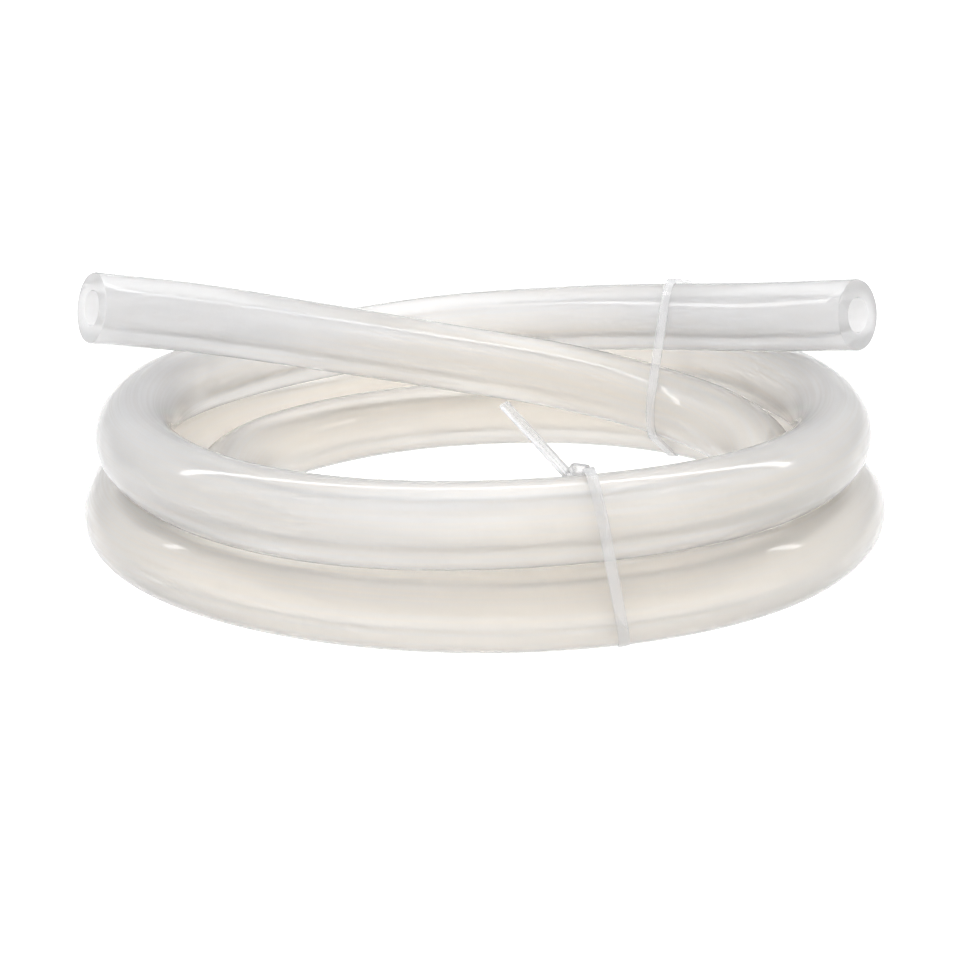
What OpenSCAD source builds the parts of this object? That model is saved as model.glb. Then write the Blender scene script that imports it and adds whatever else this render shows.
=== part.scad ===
// Hank of thick-walled clear silicone tubing: three turns, the two free ends lifted on top
// and crossing at the back, held by two small cable ties. Millimetres, Z up, front at -Y.
// The origin is on the surface that the hank lies on, under the middle of its box.

/* [Tubing] */
// outer diameter, 3/4 inch
tube_od = 19.05; // [12:0.05:30]
// bore, 3/8 inch
tube_id = 9.525; // [3:0.025:16]

/* [Lay of the turns] */
// width of the ring between tube centres
ring_w = 181; // [160:1:300]
// depth of the ring between tube centres
ring_d = 168.4; // [150:1:300]
// gap left between one turn and the turn lying on it, in tube diameters
turn_gap = 0.03; // [0.02:0.01:0.2]

/* [Cable ties] */
// width of the strap
strap_w = 2.4; // [1.8:0.1:5]
// thickness of the strap
strap_t = 1; // [0.7:0.05:1.8]
// width of the head, along the tube
head_w = 4.6; // [3.5:0.1:9]
// length of the head, along the strap
head_l = 4.8; // [3.5:0.1:9]
// height of the head above the strap's inner face
head_h = 3.4; // [2.5:0.1:8]
// tail left beyond the head of the front tie
front_tail = 23; // [6:1:60]
// tail left beyond the head of the back tie
back_tail = 14; // [6:1:60]
// gap between a strap and the tubing it holds
tie_gap = 0.08; // [0.05:0.01:0.4]

/* [Hidden] */

// facets: sides of the tube outside and in its bore, rings in each span of the route
sides_out = 20;
sides_in = 12;
span_step = 0.92;
curve_fn = 64;

// heights of the turns, in tube diameters: on the surface, and on the turn below
low = 0.5;
high = 1.5 + turn_gap;
ring_y = 0.08;

// route rows: angle round the ring, offset outward from it and height, both in diameters
left_end = [
    [-164, 1.00, 2.80], [-154, 0.38, 2.58], [-122, -0.50, 1.96], [-98, -0.70, 1.60],
    [-74, -0.75, 1.35], [-52, -0.75, 1.15], [-30, -0.80, 1.00], [-8, -0.95, 0.85],
    [14, -1.05, 0.58]];
back_low = [
    [188, -1.10, 0.50], [214, -0.70, 0.50], [240, -0.30, 0.50], [268, 0.15, 0.50],
    [296, 0.45, 0.50], [325, 0.25, 0.50]];
back_rise = [
    [548, 0.25, 0.50], [578, 0.95, 0.50], [608, 1.50, 0.56], [638, 1.55, 1.05],
    [664, 1.00, 1.43], [690, 0.30, 1.52]];
right_end = [
    [905, 0.00, 1.53], [932, 0.46, 1.47], [958, 0.75, 1.55], [982, 0.60, 1.80],
    [1006, 0.10, 2.07], [1050, 0.10, 2.52], [1064, 0.60, 2.72]];

// a turn: one row every turn_step degrees, with how far each lies outside the ring
turn_step = 40;
inner_lay = [-1.10, -1.15, -1.15, -1.25];
lower_lay = [0.10, -0.05, -0.05, 0.00, 0.10];
upper_lay = [-0.10, -0.20, -0.05, 0.20, -0.05];
function turn(start, lay, height) =
    [for (i = [0:len(lay) - 1]) [start + turn_step * i, lay[i], height]];

rows = concat(
    left_end, turn(36, inner_lay, low), back_low, turn(355, lower_lay, low),
    back_rise, turn(715, upper_lay, high), right_end);

// the route: one smooth curve through the rows, straight in its first and last span
function unit(v) = v / norm(v);
function placed(row) = [
    (ring_w / 2 + row[1] * tube_od) * cos(row[0]),
    ring_y * tube_od - (ring_d / 2 + row[1] * tube_od) * sin(row[0]),
    row[2] * tube_od];
path = [for (row = rows) placed(row)];
last = len(path) - 1;
function heading(i) =
    i < 2 ? unit(path[1] - path[0]) :
    i > last - 2 ? unit(path[last] - path[last - 1]) :
    let (before = path[i] - path[i - 1], after = path[i + 1] - path[i])
        unit(before / (before * before) + after / (after * after));
headings = [for (i = [0:last]) heading(i)];
// length of the end tangents that lets a cubic follow a circular arc
function pull(i) =
    norm(path[i + 1] - path[i]) * 2 / (1 + sqrt((1 + headings[i] * headings[i + 1]) / 2));
// no point of the route lies lower than the surface allows
function resting(p) = [p[0], p[1], max(p[2], low * tube_od)];
function point_at(i, t) =
    let (k = pull(i))
        resting((2 * pow(t, 3) - 3 * pow(t, 2) + 1) * path[i]
        + (3 * pow(t, 2) - 2 * pow(t, 3)) * path[i + 1]
        + (pow(t, 3) - 2 * pow(t, 2) + t) * k * headings[i]
        + (pow(t, 3) - pow(t, 2)) * k * headings[i + 1]);
function heading_at(i, t) =
    let (k = pull(i))
        unit((6 * pow(t, 2) - 6 * t) * (path[i] - path[i + 1])
        + (3 * pow(t, 2) - 4 * t + 1) * k * headings[i] + (3 * pow(t, 2) - 2 * t) * k * headings[i + 1]);

// ends: a true round sleeve with a true bore over the straight spans, and the swept wall
// thinned inside it, so that the two join without shared faces
sleeve_l = 1.1 * tube_od;
sleeve_thin = 0.2;
first_l = norm(path[1] - path[0]);
last_l = norm(path[last] - path[last - 1]);

// stations of the sweep: span, place in it, and how much the wall is thinned
function span_stations(i) =
    let (count = ceil(norm(path[i + 1] - path[i]) / (span_step * tube_od)))
        [for (k = [0:count - 1]) [i, k / count, 0]];
stations = concat(
    [[0, 0.3, sleeve_thin], [0, (sleeve_l - 0.5) / first_l, sleeve_thin], [0, (sleeve_l + 0.5) / first_l, 0]],
    [for (i = [1:last - 2]) each span_stations(i)],
    [[last - 1, 0, 0], [last - 1, 1 - (sleeve_l + 0.5) / last_l, 0],
     [last - 1, 1 - (sleeve_l - 0.5) / last_l, sleeve_thin], [last - 1, 0.7, sleeve_thin]]);

// a ring of points round the route, level across and square to it
function ring(st, radius, sides) =
    let (c = point_at(st[0], st[1]), h = heading_at(st[0], st[1]),
         across = unit(cross([0, 0, 1], h)), up = cross(h, across))
        [for (k = [0:sides - 1]) let (a = 360 * (k + 0.5) / sides)
            c + radius * (cos(a) * across + sin(a) * up)];

// faces of one swept skin whose rings start at point "from"; "flip" turns it inside out
function skin(from, rings, sides, flip) =
    [for (r = [0:rings - 2], k = [0:sides - 1], half = [0, 1])
        let (a = from + r * sides + k, b = from + r * sides + (k + 1) % sides,
             c = b + sides, d = a + sides,
             f = half == 0 ? [a, b, c] : [a, c, d])
        flip ? f : [f[2], f[1], f[0]]];
// ring-shaped end face between the outer ring at "po" and the inner ring at "pi"
function rim(po, pi, flip) =
    let (outer = [for (k = [0:sides_out - 1]) po + k], inner = [for (k = [0:sides_in - 1]) pi + k])
    [for (k = [0:sides_out - 1])
        let (j = round((k + 1) * sides_in / sides_out) % sides_in,
             f = [outer[k], outer[(k + 1) % sides_out], inner[j]])
        flip ? [f[2], f[1], f[0]] : f,
     for (k = [0:sides_out - 1])
        let (j0 = round(k * sides_in / sides_out) % sides_in,
             j1 = round((k + 1) * sides_in / sides_out) % sides_in,
             f = [outer[k], inner[j1], inner[j0]])
        if (j0 != j1) flip ? [f[2], f[1], f[0]] : f];

module swept_wall() {
    n = len(stations);
    r_out = tube_od / 2;
    r_in = tube_id / 2;
    points = concat(
        [for (st = stations) each ring(st, r_out - st[2], sides_out)],
        [for (st = stations) each ring(st, (r_in + st[2]) / cos(180 / sides_in), sides_in)]);
    inner_from = n * sides_out;
    polyhedron(points, concat(
        skin(0, n, sides_out, false),
        skin(inner_from, n, sides_in, true),
        rim(0, inner_from, false),
        rim((n - 1) * sides_out, inner_from + (n - 1) * sides_in, true)), convexity = 20);
}

// stands a shape made along +Z at a point, with its Z along a direction
module along(origin, direction) {
    translate(origin)
        rotate([0, acos(direction[2]), atan2(direction[1], direction[0])])
            children();
}

module end_sleeve(tip, inward) {
    along(tip, inward) difference() {
        cylinder(h = sleeve_l, d = tube_od, $fn = curve_fn);
        translate([0, 0, -1]) cylinder(h = sleeve_l + 2, d = tube_id, $fn = curve_fn);
    }
}

// ties: the places on the route that each one holds, as span, place in it and how much more
// room the strap leaves there because the tubing crosses its plane askew
front_held = [[31, 0.985, 0.3], [20, 0.93, 0.3], [9, 0.8, 0.35]];
front_grounded = [false, true, true];
front_lean = 11.2;
front_pivot = 1.35 * tube_od;
front_turn = -86;
front_out = [cos(front_turn), sin(front_turn), 0];
back_held = [[39, 0.47, 0.3], [5, 0.1, 0.5], [17, 0.3, 0.4], [27, 0.95, 1.4]];
back_grounded = [false, false, true, false];
back_turn = 72;
back_out = [cos(back_turn), sin(back_turn), 0];
// the stiff strap bends wider than the top pass: middle of that bend from the middle of the
// pass, outward and up, in diameters
back_bend = [0.85, -0.16];
// the straps run under the tubing: it stands this far off the surface, and they bite into it
lift = 0.5;

// centres of the held passes in the tie's plane: outward from the first one, height, and room
function held_at(held, grounded, out, lean, pivot) =
    let (o = point_at(held[0][0], held[0][1]), edge = strap_w / 2 * sin(lean))
        [for (i = [0:len(held) - 1])
            let (p = point_at(held[i][0], held[i][1]), room = held[i][2] + tie_gap,
                 bite = grounded[i] ? strap_t + room - lift + edge : 0)
            [(p - o) * out, pivot + (p[2] + bite - pivot) / cos(lean), room]];
front_places = held_at(front_held, front_grounded, front_out, front_lean, front_pivot);
back_passes = held_at(back_held, back_grounded, back_out, 0, 0);
back_places = concat(back_passes,
    [[back_passes[0][0] + back_bend[0] * tube_od, back_passes[0][1] + back_bend[1] * tube_od,
      back_passes[0][2]]]);

// outline round the held passes, "grow" outside the strap's inner face
module round_the(places, grow) {
    hull() for (p = places)
        translate([p[0], p[1]]) circle(r = tube_od / 2 + p[2] + grow, $fn = curve_fn);
}

// closed loop of strap in its own plane, X outward and Y up, centred on Z
module strap_loop(places, spare) {
    translate([0, 0, -strap_w / 2 - spare])
        linear_extrude(strap_w + 2 * spare) difference() {
            round_the(places, strap_t + spare);
            round_the(places, -spare);
        }
}

// stands a tie's plane on the route: X of its children goes outward, Y up
module in_plane(held, out, lean, pivot) {
    o = point_at(held[0][0], held[0][1]);
    translate([o[0], o[1], pivot])
        rotate([0, 0, atan2(out[1], out[0])])
            rotate([90 + lean, 0, 0])
                translate([0, -pivot, 0]) children();
}
module in_front_plane() { in_plane(front_held, front_out, front_lean, front_pivot) children(); }
module in_back_plane() { in_plane(back_held, back_out, 0, 0) children(); }

module silicone_tube() {
    color([0.90, 0.89, 0.87, 0.75]) to_floor() difference() {
        union() {
            swept_wall();
            end_sleeve(path[0], headings[0]);
            end_sleeve(path[last], -headings[last]);
        }
        in_front_plane() strap_loop(front_places, tie_gap);
        in_back_plane() strap_loop(back_places, tie_gap);
    }
}

// head of a tie: a block with rounded ends, its slot along Y, seated on the strap at the origin
head_round = 0.9;
slot_l = 1.9;
tooth_pitch = 1.1;
tooth_cut = 0.25;
module head() {
    rotate([-90, 0, 0]) difference() {
        translate([0, 0, -strap_t / 2]) linear_extrude(head_h) union() {
            square([head_l - 2 * head_round, head_w], center = true);
            square([head_l, head_w - 2 * head_round], center = true);
            for (x = [-1, 1], y = [-1, 1])
                translate([x * (head_l / 2 - head_round), y * (head_w / 2 - head_round)])
                    circle(r = head_round, $fn = 24);
        }
        translate([0, 0, head_h / 2 + strap_t])
            cube([slot_l, strap_w + 0.4, head_h], center = true);
    }
}

// tail beyond the head: a flat strap with a groove down its middle and a row of teeth in it
module tail(length) {
    difference() {
        translate([-strap_t / 2, 0, -strap_w / 2]) cube([strap_t, length, strap_w]);
        translate([strap_t / 2 - tooth_cut, -1, -strap_w / 6]) cube([strap_t, length + 2, strap_w / 3]);
    }
    for (y = [head_h:tooth_pitch:length - tooth_pitch])
        translate([strap_t / 2 - 2 * tooth_cut, y, -strap_w / 6 - tooth_cut])
            cube([2 * tooth_cut - 0.05, tooth_pitch / 2, strap_w / 3 + 2 * tooth_cut]);
}

// place on a tie's outline: outward angle round the held pass, on the strap's middle
function on_strap(place, angle) =
    let (r = tube_od / 2 + place[2] + strap_t / 2)
        [place[0] + r * cos(angle), place[1] + r * sin(angle), 0];

// front tie: the head lies on the inner side of the upper turn, twisted off the strap's line
// toward the side that the tail leaves it on, and the tail stands up from there
front_head_angle = 142;
front_head_turn = 32;
front_head_side = 2;
front_tail_side = 1.7;
front_tail_turn = [35, 0, 0];
module front_tie() {
    color([0.93, 0.93, 0.95, 0.8]) to_floor() in_front_plane() {
        strap_loop(front_places, 0);
        translate(on_strap(front_places[0], front_head_angle))
            rotate([0, 0, front_head_angle - 90])
                translate([0, 0, front_head_side])
                    rotate([0, front_head_turn, 0]) {
                        head();
                        translate([0, 0, front_tail_side]) rotate(front_tail_turn) tail(front_tail);
                    }
    }
}

// back tie: the head is on the far side, behind the pass that rises there
back_head_angle = 20;
module back_tie() {
    color([0.93, 0.93, 0.95, 0.8]) to_floor() in_back_plane() {
        strap_loop(back_places, 0);
        translate(on_strap(back_places[3], back_head_angle))
            rotate([0, 0, back_head_angle - 90]) {
                head();
                tail(back_tail);
            }
    }
}

// brings the middle of the hank's box over its origin, and the hank up off the surface
sections = concat([[path[0], headings[0]], [path[last], headings[last]]],
    [for (st = stations) [point_at(st[0], st[1]), heading_at(st[0], st[1])]]);
function reach(axis, side) =
    [for (s = sections) s[0][axis] + side * tube_od / 2 * sqrt(max(0, 1 - pow(s[1][axis], 2)))];
function middle(axis) = (min(reach(axis, -1)) + max(reach(axis, 1))) / 2;
module to_floor() {
    translate([-middle(0), -middle(1), lift]) union() children();
}

silicone_tube();
front_tie();
back_tie();
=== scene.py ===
"""Hank of clear silicone tubing with two cable ties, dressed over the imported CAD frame."""

import logging
import math
from dataclasses import dataclass, field
from enum import Enum

import bmesh
import bpy
from mathutils import Matrix, Vector


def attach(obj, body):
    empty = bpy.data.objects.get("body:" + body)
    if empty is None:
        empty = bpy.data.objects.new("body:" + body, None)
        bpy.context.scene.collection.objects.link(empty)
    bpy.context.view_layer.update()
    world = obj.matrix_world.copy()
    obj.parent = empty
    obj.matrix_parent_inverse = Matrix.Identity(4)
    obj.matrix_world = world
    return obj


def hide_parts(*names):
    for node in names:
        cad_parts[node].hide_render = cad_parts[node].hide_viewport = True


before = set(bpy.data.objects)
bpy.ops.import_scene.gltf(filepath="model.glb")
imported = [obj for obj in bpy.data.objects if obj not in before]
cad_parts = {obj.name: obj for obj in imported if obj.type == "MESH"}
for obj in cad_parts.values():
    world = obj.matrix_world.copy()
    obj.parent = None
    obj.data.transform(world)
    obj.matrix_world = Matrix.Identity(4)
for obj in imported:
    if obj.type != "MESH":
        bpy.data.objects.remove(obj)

log = logging.getLogger("tubing")
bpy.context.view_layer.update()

# Sizes in metres, as in the part's source. LOW and HIGH are heights in tube diameters.
OD = 0.01905
ID = 0.009525
RING_W = 0.181
RING_D = 0.1684
RING_Y = 0.08 * OD
RING_SHIFT = (0.00312715, -0.0159506)
LIFT = 0.0005
LOW = 0.5
HIGH = 1.53
TURN_STEP = 40
FINE_STEP = 0.002
FLOOR_WHITE = 1.05
FLOOR_LIGHT = 0.89
FLOOR_SIZE = 30

# Angle round the ring in degrees, then lay outside the ring and height, both in tube diameters.
Row = tuple[float, float, float]

LEFT_END: list[Row] = [
    (-164, 1.00, 2.80), (-154, 0.38, 2.58), (-122, -0.50, 1.96), (-98, -0.70, 1.60),
    (-74, -0.75, 1.35), (-52, -0.75, 1.15), (-30, -0.80, 1.00), (-8, -0.95, 0.85),
    (14, -1.05, 0.58),
]
BACK_LOW: list[Row] = [
    (188, -1.10, 0.50), (214, -0.70, 0.50), (240, -0.30, 0.50), (268, 0.15, 0.50),
    (296, 0.45, 0.50), (325, 0.25, 0.50),
]
BACK_RISE: list[Row] = [
    (548, 0.25, 0.50), (578, 0.95, 0.50), (608, 1.50, 0.56), (638, 1.55, 1.05),
    (664, 1.00, 1.43), (690, 0.30, 1.52),
]
RIGHT_END: list[Row] = [
    (905, 0.00, 1.53), (932, 0.46, 1.47), (958, 0.75, 1.55), (982, 0.60, 1.80),
    (1006, 0.10, 2.07), (1050, 0.10, 2.52), (1064, 0.60, 2.72),
]


def turn(start: float, lay: list[float], height: float) -> list[Row]:
    """Rows of one turn.

    Args:
        start: angle of its first row, in degrees.
        lay: how far each row lies outside the ring, in tube diameters.
        height: height of the turn, in tube diameters.

    Returns:
        One row every TURN_STEP degrees.
    """
    return [(start + TURN_STEP * i, off, height) for i, off in enumerate(lay)]


@dataclass
class Route:
    """The line along the middle of the tube, as the part's source works it out."""

    rows: list[Row]
    points: list[Vector] = field(init=False)
    headings: list[Vector] = field(init=False)

    def __post_init__(self) -> None:
        """Places the rows and finds the heading at each."""
        self.points = [self.placed(row) for row in self.rows]
        self.headings = [self.heading(i) for i in range(len(self.points))]

    def placed(self, row: Row) -> Vector:
        """Point of a row round the ring, with the hank over the frame's origin.

        Args:
            row: angle in degrees, and the lay outside the ring and the height, in tube diameters.

        Returns:
            The point in metres.
        """
        angle, out, height = math.radians(row[0]), row[1] * OD, row[2] * OD
        return Vector((
            RING_SHIFT[0] + (RING_W / 2 + out) * math.cos(angle),
            RING_SHIFT[1] + RING_Y - (RING_D / 2 + out) * math.sin(angle),
            height + LIFT,
        ))

    def heading(self, i: int) -> Vector:
        """Direction of the route at a row, straight in the first and last span.

        Args:
            i: index of the row.

        Returns:
            The unit heading.
        """
        p, last = self.points, len(self.points) - 1
        if i < 2:
            return (p[1] - p[0]).normalized()
        if i > last - 2:
            return (p[last] - p[last - 1]).normalized()
        before, after = p[i] - p[i - 1], p[i + 1] - p[i]
        return (before / before.length_squared + after / after.length_squared).normalized()

    def at(self, i: int, t: float) -> tuple[Vector, Vector]:
        """Point and heading at share t of span i.

        Args:
            i: index of the span's first row.
            t: place in the span, 0 to 1.

        Returns:
            The point and the unit heading.
        """
        p0, p1, h0, h1 = self.points[i], self.points[i + 1], self.headings[i], self.headings[i + 1]
        k = (p1 - p0).length * 2 / (1 + math.sqrt((1 + h0.dot(h1)) / 2))
        point = (
            (2 * t**3 - 3 * t**2 + 1) * p0 + (3 * t**2 - 2 * t**3) * p1
            + (t**3 - 2 * t**2 + t) * k * h0 + (t**3 - t**2) * k * h1
        )
        point.z = max(point.z, LOW * OD + LIFT)
        slope = (
            (6 * t**2 - 6 * t) * (p0 - p1)
            + (3 * t**2 - 4 * t + 1) * k * h0 + (3 * t**2 - 2 * t) * k * h1
        )
        return point, slope.normalized()

    def stations(self, step: float) -> list[tuple[Vector, Vector]]:
        """Points and headings along the whole route.

        Args:
            step: the longest way between two of them.

        Returns:
            Each point with its heading.
        """
        found = []
        for i in range(len(self.points) - 1):
            count = math.ceil((self.points[i + 1] - self.points[i]).length / step)
            found += [self.at(i, k / count) for k in range(count)]
        return [*found, self.at(len(self.points) - 2, 1.0)]

    def length(self) -> float:
        """Length of the route, measured along fine steps."""
        line = [p for p, _ in self.stations(FINE_STEP)]
        return sum((b - a).length for a, b in zip(line, line[1:]))


def hank_route() -> Route:
    """The whole route: left end, three turns with their passes at the back, and right end.

    Returns:
        The route.
    """
    return Route(
        LEFT_END + turn(36, [-1.10, -1.15, -1.15, -1.25], LOW)
        + BACK_LOW + turn(355, [0.10, -0.05, -0.05, 0.00, 0.10], LOW)
        + BACK_RISE + turn(715, [-0.10, -0.20, -0.05, 0.20, -0.05], HIGH) + RIGHT_END
    )


def square_to(point: Vector, heading: Vector) -> Matrix:
    """Frame of a tube section: X level across the tube, Y up and Z along it.

    Args:
        point: middle of the section.
        heading: unit heading of the tube there.

    Returns:
        The frame's matrix.
    """
    across = Vector((0, 0, 1)).cross(heading).normalized()
    up = heading.cross(across)
    section = Matrix((across, up, heading)).transposed().to_4x4()
    section.translation = point
    return section


def placed_mesh(name: str, bm: bmesh.types.BMesh) -> bpy.types.Object:
    """Turns a finished bmesh into an object in the scene.

    Args:
        name: name of the mesh and the object.
        bm: the bmesh, which is freed.

    Returns:
        The object.
    """
    mesh = bpy.data.meshes.new(name)
    bm.to_mesh(mesh)
    bm.free()
    piece = bpy.data.objects.new(name, mesh)
    bpy.context.scene.collection.objects.link(piece)
    return piece


@dataclass
class Tube:
    """The silicone tubing: an outer skin, a bore and two cut ends."""

    route: Route
    sides: int = 48
    step: float = 0.0042
    weld: float = 1e-6
    sharp: float = 0.6
    outer: float = OD / 2
    inner: float = ID / 2
    lip: float = 0.00035

    def sections(self) -> list[tuple[Matrix, float]]:
        """Rings of the whole skin: along the outside, over the far end, and back down the bore.

        Returns:
            The frame and radius of each ring. The last one lies on the first.
        """
        places = [square_to(p, h) for p, h in self.route.stations(self.step)]
        first, last = places[0], places[-1]
        ends = ((first, self.lip), (last, -self.lip))
        inset = [Matrix.Translation(lip * m.col[2].to_3d()) @ m for m, lip in ends]
        rim = self.outer - self.lip / 2
        return [
            (first, rim), (inset[0], self.outer), *((m, self.outer) for m in places[1:-1]),
            (inset[1], self.outer), (last, rim), *((m, self.inner) for m in reversed(places)),
            (first, rim),
        ]

    def build(self) -> bpy.types.Object:
        """Makes the tube's mesh.

        Returns:
            The object, with its place in its mesh.
        """
        bm = bmesh.new()
        uv = bm.loops.layers.uv.verify()
        sections = self.sections()
        circle = bmesh.ops.create_circle(bm, cap_ends=False, segments=self.sides, radius=1.0)
        ring = circle["verts"]
        loop = list({e for v in ring for e in v.link_edges})
        back = sections[0][0] @ Matrix.Scale(sections[0][1], 4)
        bmesh.ops.transform(bm, matrix=back, verts=ring)
        run = 0.0
        for place, radius in sections[1:]:
            here = place @ Matrix.Scale(radius, 4)
            made = bmesh.ops.extrude_edge_only(bm, edges=loop)["geom"]
            new = {g for g in made if isinstance(g, bmesh.types.BMVert)}
            edges = (g for g in made if isinstance(g, bmesh.types.BMEdge))
            loop = [e for e in edges if new.issuperset(e.verts)]
            bmesh.ops.transform(bm, matrix=here @ back.inverted(), verts=list(new))
            on = run + (here.translation - back.translation).length
            to_here, to_back = here.inverted(), back.inverted()
            for face in (g for g in made if isinstance(g, bmesh.types.BMFace)):
                face.smooth = True
                local = [(to_here if c.vert in new else to_back) @ c.vert.co for c in face.loops]
                angles = [math.atan2(v.y, v.x) / math.tau % 1.0 for v in local]
                # a face across the seam counts on past 1, so that the pattern doesn't run back
                seam = max(angles) - min(angles) > 0.5
                for corner, angle in zip(face.loops, angles):
                    along = on if corner.vert in new else run
                    corner[uv].uv = (along, angle + (seam and angle < 0.5))
            run, back = on, here
        bmesh.ops.remove_doubles(bm, verts=bm.verts, dist=self.weld)
        bmesh.ops.recalc_face_normals(bm, faces=bm.faces)
        for edge in bm.edges:
            edge.smooth = edge.calc_face_angle(0) < self.sharp
        return placed_mesh("tubing", bm)

    def dress(self, piece: bpy.types.Object, finish: bpy.types.Material) -> None:
        """Gives the tube its finish and its place in the part, and hides the imported tube.

        Args:
            piece: the tube's object.
            finish: the material for all of its faces.
        """
        piece.data.materials.append(finish)
        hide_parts("silicone_tube")
        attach(piece, "root")
        line = [tuple(p) for p, _ in self.route.stations(self.step)]
        self.route.length()


@dataclass
class Ties:
    """The two cable ties, whose solids keep their shape and get a better finish."""

    nodes: tuple[str, ...] = ("front_tie", "back_tie")

    def dress(self, finish: bpy.types.Material) -> None:
        """Puts the finish in every slot of both ties.

        Args:
            finish: the material for them.
        """
        for name in self.nodes:
            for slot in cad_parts[name].material_slots:
                slot.material = finish


def set_range(node: bpy.types.Node, *numbers: float) -> None:
    """Sets the four ends of a Map Range node.

    Args:
        node: the Map Range node.
        numbers: its from low, from high, to low and to high.
    """
    for socket, number in zip(node.inputs[1:5], numbers):
        socket.default_value = number


class Kind(Enum):
    """Kinds of number that a shader group's socket may carry."""

    VALUE = "NodeSocketFloat"
    COLOUR = "NodeSocketColor"


Colour = tuple[float, float, float, float]


@dataclass
class Group:
    """A shader node group being built."""

    name: str
    tree: bpy.types.NodeTree = field(init=False)
    source: bpy.types.Node = field(init=False)
    result: bpy.types.Node = field(init=False)

    def __post_init__(self) -> None:
        """Makes the empty group with its input and output nodes."""
        self.tree = bpy.data.node_groups.new(self.name, "ShaderNodeTree")
        self.source = self.tree.nodes.new("NodeGroupInput")
        self.result = self.tree.nodes.new("NodeGroupOutput")

    def takes(self, name: str, kind: Kind, default: float | Colour) -> None:
        """Adds a named input.

        Args:
            name: the input's name.
            kind: what it carries.
            default: its value where nothing feeds it.
        """
        socket = self.tree.interface.new_socket(name, in_out="INPUT", socket_type=kind.value)
        socket.default_value = default

    def gives(self, name: str, kind: Kind, out: bpy.types.NodeSocket) -> None:
        """Adds a named output fed by a socket."""
        self.tree.interface.new_socket(name, in_out="OUTPUT", socket_type=kind.value)
        self.tree.links.new(out, self.result.inputs[name])

    def node(self, kind: str, **settings: object) -> bpy.types.Node:
        """Adds a node.

        Args:
            kind: Blender's name for it.
            settings: its properties by name.

        Returns:
            The node.
        """
        made = self.tree.nodes.new(kind)
        for key, value in settings.items():
            setattr(made, key, value)
        return made

    def feed(self, place: bpy.types.NodeSocket, part: object) -> None:
        """Feeds an input.

        Args:
            place: the input socket.
            part: an output socket to link to it, or the value to give it.
        """
        if isinstance(part, bpy.types.NodeSocket):
            self.tree.links.new(part, place)
        else:
            place.default_value = part

    def sum(self, operation: str, *parts: object, clamp: bool = False) -> bpy.types.NodeSocket:
        """Adds a maths node.

        Args:
            operation: Blender's name for it.
            parts: sockets or numbers that it works on.
            clamp: whether its result stays between 0 and 1.

        Returns:
            Its output socket.
        """
        made = self.node("ShaderNodeMath", operation=operation, use_clamp=clamp)
        for place, part in zip(made.inputs, parts):
            self.feed(place, part)
        return made.outputs[0]

    def blend(self, share: bpy.types.NodeSocket, one: object, two: object) -> bpy.types.NodeSocket:
        """Mixes two colours.

        Args:
            share: socket with the second colour's share.
            one: socket or value of the first colour.
            two: socket or value of the second colour.

        Returns:
            The socket of the mixed colour.
        """
        made = self.node("ShaderNodeMix", data_type="RGBA")
        for number, part in ((0, share), (6, one), (7, two)):
            self.feed(made.inputs[number], part)
        return made.outputs[2]

    def ramp(self, value: bpy.types.NodeSocket, low: float, high: float,
             to_low: float = 0.0, to_high: float = 1.0) -> bpy.types.NodeSocket:
        """Maps a value from one range to another, smoothly and clamped.

        Args:
            value: the socket to map.
            low: value where the ramp starts.
            high: value where it ends.
            to_low: what it gives at the start.
            to_high: what it gives at the end.

        Returns:
            The socket of the mapped value.
        """
        made = self.node("ShaderNodeMapRange", interpolation_type="SMOOTHSTEP")
        self.tree.links.new(value, made.inputs[0])
        set_range(made, low, high, to_low, to_high)
        return made.outputs[0]


STREAK_SPAN = (0.38, 0.64)
# the next span is the heights over which the painted warm glow of the low turns fades out
PAINTED_GLOW_HEIGHT = (0.008, 0.056)
# the next span is the heights over which the painted shade of the raised free ends comes in
PAINTED_SHADE_ENDS_HEIGHT = (0.036, 0.052)
CLOUD_SCALE = 14.0
CLOUD_SPAN = (0.35, 0.65)
CLOUD_SHARE = 0.15
SPECK_REACH = (0.012, 0.024)
SPECK_CHOICE = 0.86


def drawn_streaks() -> bpy.types.NodeTree:
    """Group for the fine lines that an extruder leaves along a tube.

    Returns:
        A group with a Lines mask and a Height.
    """
    g = Group("drawn_streaks")
    g.takes("Round", Kind.VALUE, 14.0)
    g.takes("Along", Kind.VALUE, 2.0)
    uv = g.node("ShaderNodeUVMap")
    split = g.node("ShaderNodeSeparateXYZ")
    g.tree.links.new(uv.outputs[0], split.inputs[0])
    angle = g.sum("MULTIPLY", split.outputs[1], math.tau)
    # the pattern lies on a cylinder in its own space, so that it has no seam
    joined = g.node("ShaderNodeCombineXYZ")
    cosine, sine = g.sum("COSINE", angle), g.sum("SINE", angle)
    sides = ((split.outputs[0], "Along"), (cosine, "Round"), (sine, "Round"))
    for place, (side, size) in zip(joined.inputs, sides):
        g.feed(place, g.sum("MULTIPLY", side, g.source.outputs[size]))
    noise = g.node("ShaderNodeTexNoise", noise_dimensions="3D")
    for name, number in (("Scale", 1.0), ("Detail", 4.0), ("Roughness", 0.6)):
        noise.inputs[name].default_value = number
    g.tree.links.new(joined.outputs[0], noise.inputs["Vector"])
    g.gives("Lines", Kind.VALUE, g.ramp(noise.outputs[0], *STREAK_SPAN))
    g.gives("Height", Kind.VALUE, noise.outputs[0])
    return g.tree


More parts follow.
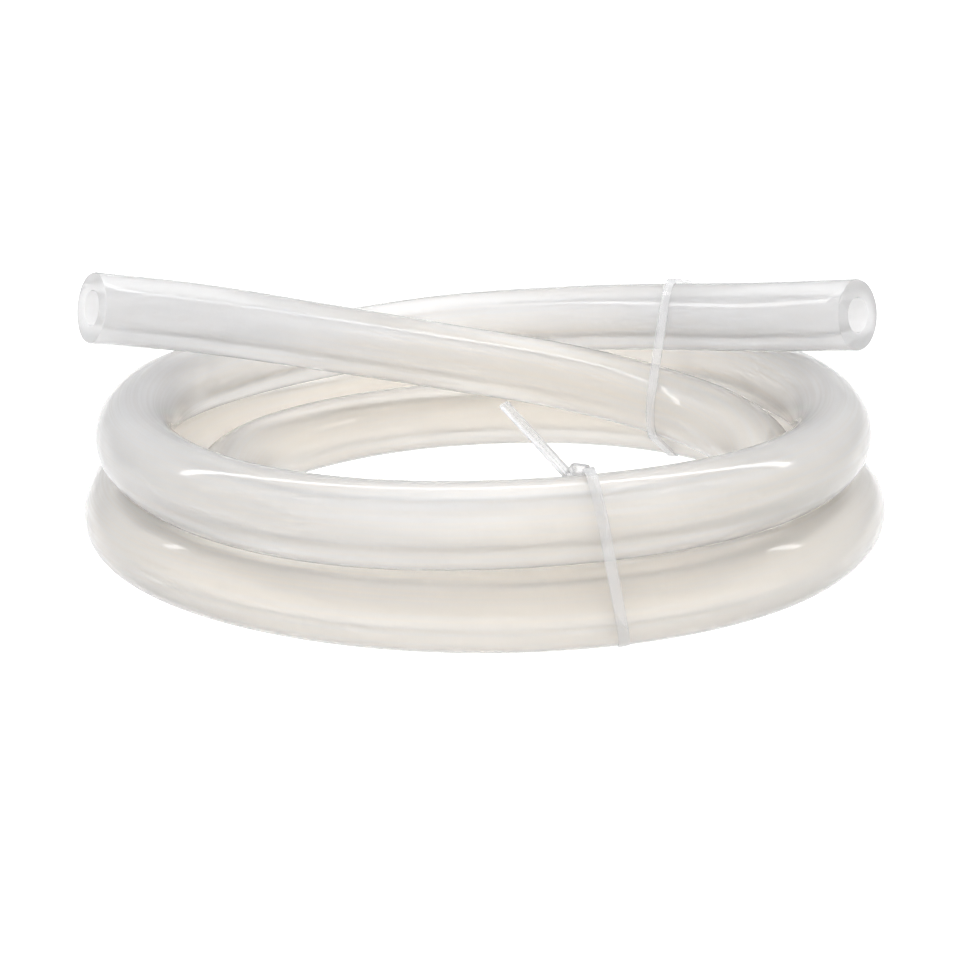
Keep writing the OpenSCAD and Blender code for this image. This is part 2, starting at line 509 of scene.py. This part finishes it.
def tone_with_painted_light_group() -> bpy.types.NodeTree:
    """Group for the rubber's colour, with painted light in it: a painted warm glow, lighter and
    warmer, on the low turns where tube lies on tube, and painted shade that darkens the raised
    free ends.

    Returns:
        A group that mixes three colours by height, and the lower two by streak as well.
    """
    g = Group("tone_with_painted_light_group")
    g.takes("Cool", Kind.COLOUR, (1, 1, 1, 1))
    g.takes("Painted glow", Kind.COLOUR, (1, 1, 1, 1))
    g.takes("Painted end shade", Kind.COLOUR, (1, 1, 1, 1))
    g.takes("Lines", Kind.VALUE, 0.5)
    g.takes("Streak", Kind.VALUE, 0.7)
    place = g.node("ShaderNodeTexCoord")
    split = g.node("ShaderNodeSeparateXYZ")
    g.tree.links.new(place.outputs["Object"], split.inputs[0])
    # painted glow: share of the lighter, warmer colour, full on the low turns and gone higher up
    low = g.ramp(split.outputs[2], *PAINTED_GLOW_HEIGHT, 1.0, 0.0)
    cloud = g.node("ShaderNodeTexNoise", noise_dimensions="3D")
    cloud.inputs["Scale"].default_value = CLOUD_SCALE
    cloud.inputs["Detail"].default_value = 1.0
    g.tree.links.new(place.outputs["Object"], cloud.inputs["Vector"])
    patch = g.ramp(cloud.outputs[0], *CLOUD_SPAN, -CLOUD_SHARE, CLOUD_SHARE)
    centred = g.sum("SUBTRACT", g.source.outputs["Lines"], 0.5)
    line = g.sum("MULTIPLY", centred, g.source.outputs["Streak"])
    share = g.sum("ADD", g.sum("ADD", low, patch), line, clamp=True)
    hank = g.blend(share, g.source.outputs["Cool"], g.source.outputs["Painted glow"])
    # painted shade: the raised free ends get a darker colour
    high = g.ramp(split.outputs[2], *PAINTED_SHADE_ENDS_HEIGHT)
    g.gives("Colour", Kind.COLOUR, g.blend(high, hank, g.source.outputs["Painted end shade"]))
    return g.tree


def dust() -> bpy.types.NodeTree:
    """Group for the few dark specks that cling to the rubber.

    Returns:
        A group with a Specks mask.
    """
    g = Group("dust")
    g.takes("Scale", Kind.VALUE, 55.0)
    place = g.node("ShaderNodeTexCoord")
    cells = g.node("ShaderNodeTexVoronoi", feature="F1")
    g.tree.links.new(place.outputs["Object"], cells.inputs["Vector"])
    g.tree.links.new(g.source.outputs["Scale"], cells.inputs["Scale"])
    dot = g.ramp(cells.outputs["Distance"], *SPECK_REACH, 1.0, 0.0)
    pick = g.node("ShaderNodeSeparateColor")
    g.tree.links.new(cells.outputs["Color"], pick.inputs[0])
    chosen = g.sum("GREATER_THAN", pick.outputs[0], SPECK_CHOICE)
    g.gives("Specks", Kind.VALUE, g.sum("MULTIPLY", dot, chosen))
    return g.tree


@dataclass(frozen=True)
class Silicone:
    """Milky clear silicone rubber: a hazy body that scatters light under a smooth skin."""

    cool: Colour = (0.893, 0.898, 0.911, 1)
    # painted glow: lighter, warmer colour painted on the low turns
    painted_glow: Colour = (0.953, 0.911, 0.856, 1)
    # painted shade: darker colour painted on the raised free ends
    high: Colour = (0.78, 0.777, 0.78, 1)
    # painted shade: darker colour painted along the tube's edges
    edge: Colour = (0.60, 0.605, 0.62, 1)
    clear: float = 0.78
    haze: float = 0.45
    gloss: float = 0.02
    bends: float = 1.22
    skin: float = 1.41
    skin_share: float = 1.0
    scatter: float = 0.02
    relief: float = 0.03
    relief_depth: float = 0.0003
    painted_edge_from: float = 0.55
    spread: tuple[float, float, float] = (1.0, 0.95, 0.9)
    speck: Colour = (0.12, 0.11, 0.10, 1)

    def made(self, groups: dict[str, bpy.types.NodeTree]) -> bpy.types.Material:
        """Makes the material.

        Args:
            groups: the node groups for streaks, tint and dust.

        Returns:
            The material.
        """
        mat = bpy.data.materials.new("milky_silicone")
        mat.use_nodes = True
        tree = mat.node_tree
        bsdf = tree.nodes["Principled BSDF"]
        bsdf.inputs["IOR"].default_value = self.bends
        bsdf.inputs["Transmission Weight"].default_value = self.clear
        bsdf.inputs["Subsurface Weight"].default_value = 1.0
        bsdf.inputs["Subsurface Radius"].default_value = self.spread
        bsdf.inputs["Subsurface Scale"].default_value = self.scatter
        used = {name: tree.nodes.new("ShaderNodeGroup") for name in groups}
        for name, node in used.items():
            node.node_tree = groups[name]
        streaks, tint, specks = used["streaks"], used["tint"], used["dust"]
        for name, colour in (("Cool", self.cool), ("Painted glow", self.painted_glow), ("Painted end shade", self.high)):
            tint.inputs[name].default_value = colour
        tree.links.new(streaks.outputs["Lines"], tint.inputs["Lines"])
        mix = tree.nodes.new("ShaderNodeMix")
        mix.data_type = "RGBA"
        mix.inputs[7].default_value = self.speck
        tree.links.new(specks.outputs["Specks"], mix.inputs[0])
        tree.links.new(tint.outputs["Colour"], mix.inputs[6])
        # painted shade: a darker colour painted where the surface turns away from the view, for
        # camera rays only, standing in for the dark edges that refraction draws round the tube
        facing = tree.nodes.new("ShaderNodeLayerWeight")
        facing.inputs["Blend"].default_value = 0.5
        rim = tree.nodes.new("ShaderNodeMapRange")
        rim.interpolation_type = "SMOOTHSTEP"
        set_range(rim, self.painted_edge_from, 1.0, 0.0, 1.0)
        tree.links.new(facing.outputs["Facing"], rim.inputs[0])
        painted_dark_edge = tree.nodes.new("ShaderNodeMix")
        painted_dark_edge.data_type = "RGBA"
        painted_dark_edge.inputs[7].default_value = self.edge
        path, first = tree.nodes.new("ShaderNodeLightPath"), tree.nodes.new("ShaderNodeMath")
        first.operation = "MULTIPLY"
        tree.links.new(rim.outputs[0], first.inputs[0])
        tree.links.new(path.outputs["Is Camera Ray"], first.inputs[1])
        tree.links.new(first.outputs[0], painted_dark_edge.inputs[0])
        tree.links.new(mix.outputs[2], painted_dark_edge.inputs[6])
        tree.links.new(painted_dark_edge.outputs[2], bsdf.inputs["Base Color"])
        bsdf.inputs["Coat Weight"].default_value = self.skin_share
        bsdf.inputs["Coat Roughness"].default_value = self.gloss
        bsdf.inputs["Coat IOR"].default_value = self.skin
        rough = tree.nodes.new("ShaderNodeMapRange")
        set_range(rough, 0.0, 1.0, self.haze * 0.8, self.haze * 1.2)
        tree.links.new(streaks.outputs["Lines"], rough.inputs[0])
        tree.links.new(rough.outputs[0], bsdf.inputs["Roughness"])
        bump = tree.nodes.new("ShaderNodeBump")
        bump.inputs["Strength"].default_value = self.relief
        bump.inputs["Distance"].default_value = self.relief_depth
        tree.links.new(streaks.outputs["Height"], bump.inputs["Height"])
        tree.links.new(bump.outputs[0], bsdf.inputs["Normal"])
        return mat


@dataclass(frozen=True)
class Nylon:
    """Natural clear nylon of the cable ties."""

    colour: Colour = (0.94, 0.942, 0.947, 1)
    shade: Colour = (0.90, 0.903, 0.915, 1)
    clear: float = 0.78
    gloss: float = 0.18
    bends: float = 1.36
    grain: float = 900.0

    def made(self) -> bpy.types.Material:
        """Makes the material, with a fine grain of its own.

        Returns:
            The material.
        """
        mat = bpy.data.materials.new("clear_nylon")
        mat.use_nodes = True
        tree = mat.node_tree
        bsdf = tree.nodes["Principled BSDF"]
        bsdf.inputs["IOR"].default_value = self.bends
        bsdf.inputs["Transmission Weight"].default_value = self.clear
        place = tree.nodes.new("ShaderNodeTexCoord")
        grain = tree.nodes.new("ShaderNodeTexNoise")
        grain.inputs["Scale"].default_value = self.grain
        tree.links.new(place.outputs["Object"], grain.inputs["Vector"])
        tone = tree.nodes.new("ShaderNodeMix")
        tone.data_type = "RGBA"
        tone.inputs[6].default_value = self.colour
        tone.inputs[7].default_value = self.shade
        tree.links.new(grain.outputs[0], tone.inputs[0])
        tree.links.new(tone.outputs[2], bsdf.inputs["Base Color"])
        rough = tree.nodes.new("ShaderNodeMapRange")
        set_range(rough, 0.0, 1.0, self.gloss * 0.6, self.gloss * 1.5)
        tree.links.new(grain.outputs[0], rough.inputs[0])
        tree.links.new(rough.outputs[0], bsdf.inputs["Roughness"])
        return mat


@dataclass(frozen=True)
class View:
    """The camera: where it looks, from how far and how high."""

    target: tuple[float, float, float] = (0.0010317, -0.015951, 0.014978)
    distance: float = 0.49016
    rise: float = 16.35
    lens: float = 71.7026

    def place(self) -> None:
        """Makes the camera and gives it to the scene."""
        data = bpy.data.cameras.new("camera")
        data.lens, data.sensor_width, data.sensor_fit = self.lens, 36.0, "HORIZONTAL"
        data.clip_start, data.clip_end = 0.01, 20
        cam = bpy.data.objects.new("camera", data)
        angle = math.radians(self.rise)
        out = Vector((0, -math.cos(angle), math.sin(angle)))
        cam.location = Vector(self.target) + out * self.distance
        cam.rotation_euler = out.to_track_quat("Z", "Y").to_euler()
        bpy.context.scene.collection.objects.link(cam)
        bpy.context.scene.camera = cam


@dataclass(frozen=True)
class Lamp:
    """A soft rectangular lamp."""

    name: str
    place: tuple[float, float, float]
    aim: tuple[float, float, float]
    width: float
    depth: float
    power: float

    def hang(self) -> None:
        """Hangs the lamp and turns it to its aim."""
        data = bpy.data.lights.new(self.name, "AREA")
        data.shape, data.energy = "RECTANGLE", self.power
        data.size, data.size_y = self.width, self.depth
        lamp = bpy.data.objects.new(self.name, data)
        lamp.location = self.place
        back = Vector(self.place) - Vector(self.aim)
        lamp.rotation_euler = back.to_track_quat("Z", "Y").to_euler()
        bpy.context.scene.collection.objects.link(lamp)


LAMPS = (
    Lamp("fill_lamp", place=(0, -0.9, 0.5), aim=(0, -0.03, 0.03), width=1.4, depth=0.8, power=0.3),
    Lamp("top_lamp", place=(0, 0.038, 0.22), aim=(0, 0.038, 0), width=0.7, depth=0.03, power=0.4),
    Lamp("line_lamp", place=(0, -0.35, 0.46), aim=(0, -0.1, 0.03), width=0.9, depth=0.012,
         power=0.1),
)


@dataclass(frozen=True)
class Dome:
    """Sky of the studio: dimmer round the horizon, which draws the tube's edges, than above."""

    horizon: float = 0.88
    zenith: float = 1.17
    dim_below: float = 0.2
    bright_above: float = 0.65

    def hang(self) -> None:
        """Makes the sky and gives it to the scene."""
        world = bpy.data.worlds.new("studio")
        world.use_nodes = True
        tree = world.node_tree
        sky = tree.nodes["Background"]
        sky.inputs["Color"].default_value = (1, 1, 1, 1)
        place = tree.nodes.new("ShaderNodeTexCoord")
        split = tree.nodes.new("ShaderNodeSeparateXYZ")
        tree.links.new(place.outputs["Generated"], split.inputs[0])
        rise = tree.nodes.new("ShaderNodeMapRange")
        rise.interpolation_type = "SMOOTHSTEP"
        set_range(rise, self.dim_below, self.bright_above, self.horizon, self.zenith)
        tree.links.new(split.outputs[2], rise.inputs[0])
        tree.links.new(rise.outputs[0], sky.inputs["Strength"])
        bpy.context.scene.world = world


def studio() -> None:
    """Pale floor and soft light."""
    bm = bmesh.new()
    bmesh.ops.create_grid(bm, x_segments=1, y_segments=1, size=FLOOR_SIZE)
    floor = placed_mesh("floor", bm)
    mat = bpy.data.materials.new("floor")
    mat.use_nodes = True
    surface = mat.node_tree.nodes["Principled BSDF"]
    surface.inputs["Base Color"].default_value = (0.3, 0.3, 0.3, 1)
    surface.inputs["Roughness"].default_value = 0.8
    surface.inputs["Specular IOR Level"].default_value = 0.0
    surface.inputs["Emission Color"].default_value = (1, 1, 1, 1)
    seen = mat.node_tree.nodes.new("ShaderNodeLightPath")
    glow = mat.node_tree.nodes.new("ShaderNodeMapRange")
    set_range(glow, 0.0, 1.0, FLOOR_LIGHT, FLOOR_WHITE)
    mat.node_tree.links.new(seen.outputs["Is Camera Ray"], glow.inputs[0])
    mat.node_tree.links.new(glow.outputs[0], surface.inputs["Emission Strength"])
    floor.data.materials.append(mat)
    Dome().hang()
    for lamp in LAMPS:
        lamp.hang()
    bpy.context.scene.view_settings.view_transform = "Standard"
    View().place()


def main() -> None:
    """Builds the hank piece by piece and reports each."""
    logging.basicConfig(level=logging.INFO, format="%(message)s")
    studio()
    route = hank_route()
    tube = Tube(route)
    piece = tube.build()
    groups = {"streaks": drawn_streaks(), "tint": tone_with_painted_light_group(), "dust": dust()}
    tube.dress(piece, Silicone().made(groups))
    log.info("tube: %.3f m, %d faces", route.length(), len(piece.data.polygons))
    ties = Ties()
    ties.dress(Nylon().made())
    log.info("ties: %s", ", ".join(ties.nodes))


if __name__ == "__main__":
    main()
